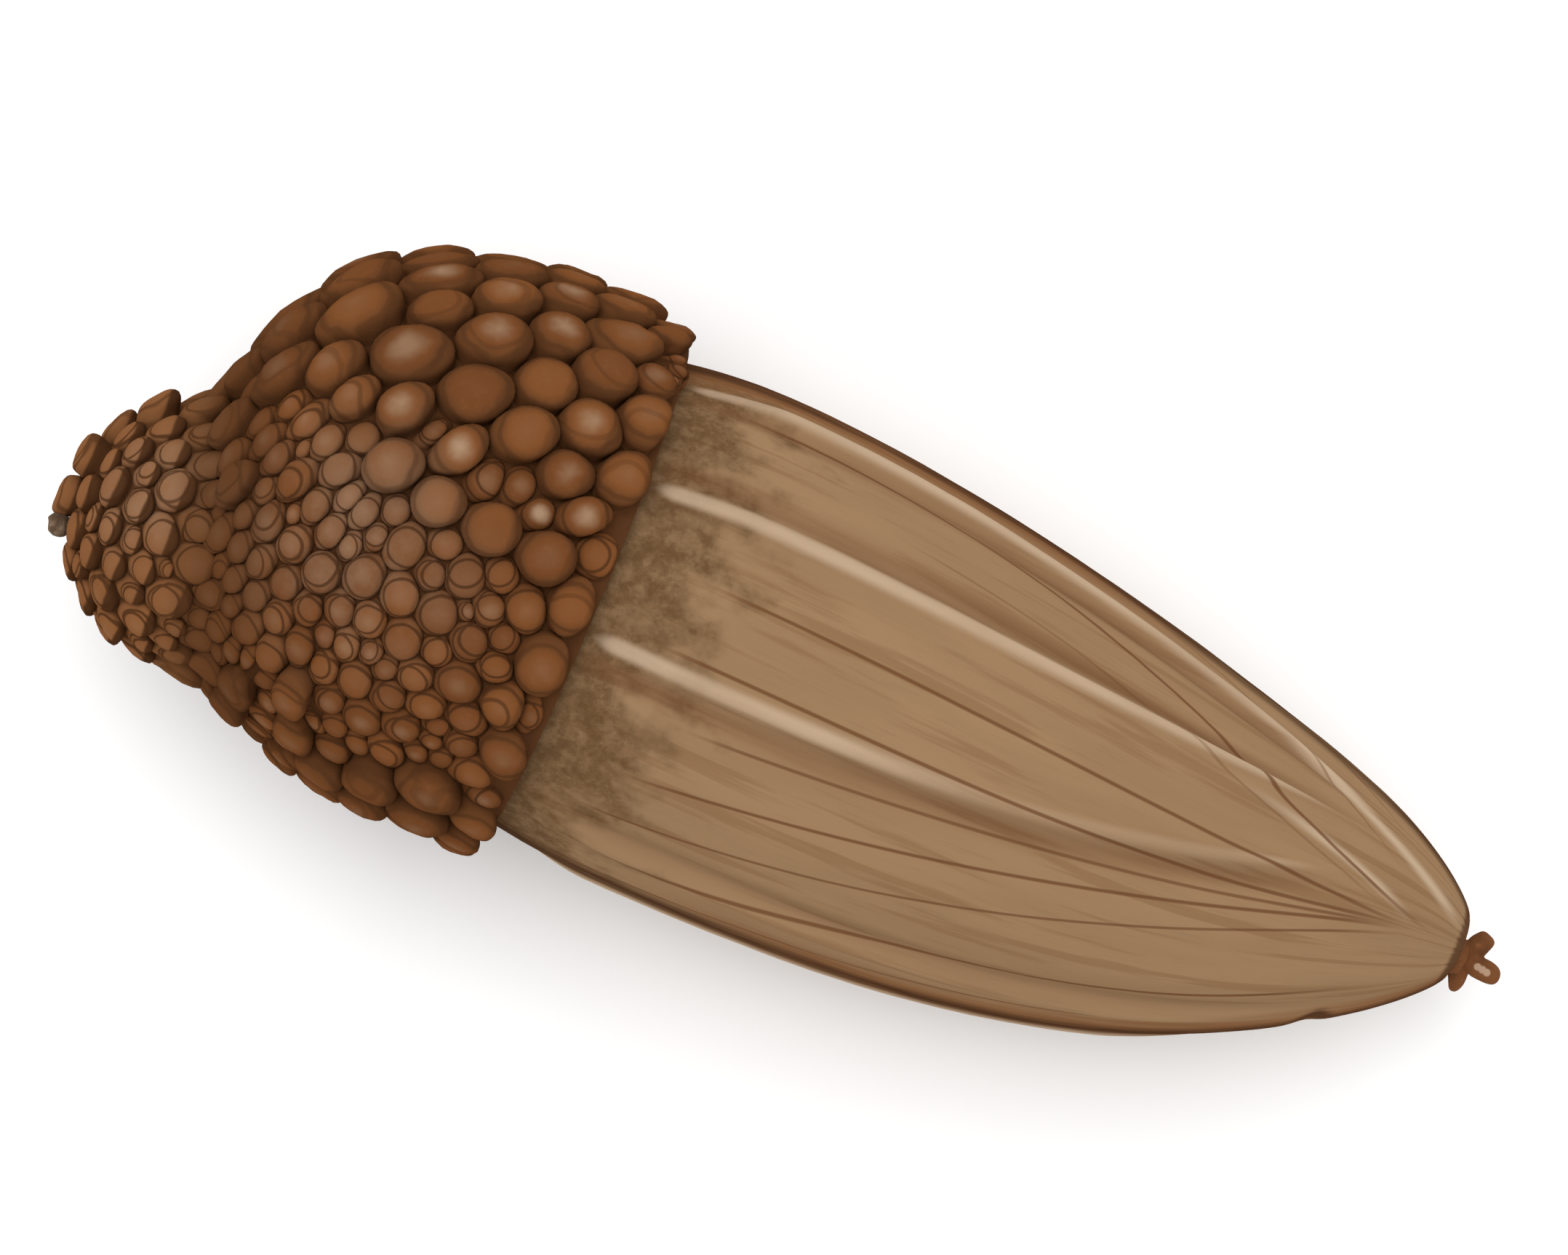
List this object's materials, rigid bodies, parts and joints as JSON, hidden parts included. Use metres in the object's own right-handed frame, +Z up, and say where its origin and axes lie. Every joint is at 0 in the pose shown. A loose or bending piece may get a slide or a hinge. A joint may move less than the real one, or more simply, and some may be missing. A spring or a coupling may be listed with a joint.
{
  "type": "acorn",
  "caption": "Long, tapering acorn lying on its side, its base held in a deep cup of rounded scales with a small scaly bud and a stub of stalk behind.",
  "frame": {"origin": "middle of the underside of the bounding box, on the surface that the acorn lies on", "axes": "+X from the stalk towards the nut's tip, +Z up, +Y to the side away from the bud's lean"},
  "size_m": [0.0578, 0.022, 0.0219],
  "materials": {
    "nut_skin": "smooth, softly shining",
    "cup_scale": "matt",
    "stalk_bark": "matt",
    "style_brown": "dry, dull"
  },
  "bodies": {
    "root": {"nut": "nut_skin", "cup": "cup_scale", "stalk": "stalk_bark", "style": "style_brown"}
  },
  "joints": []
}
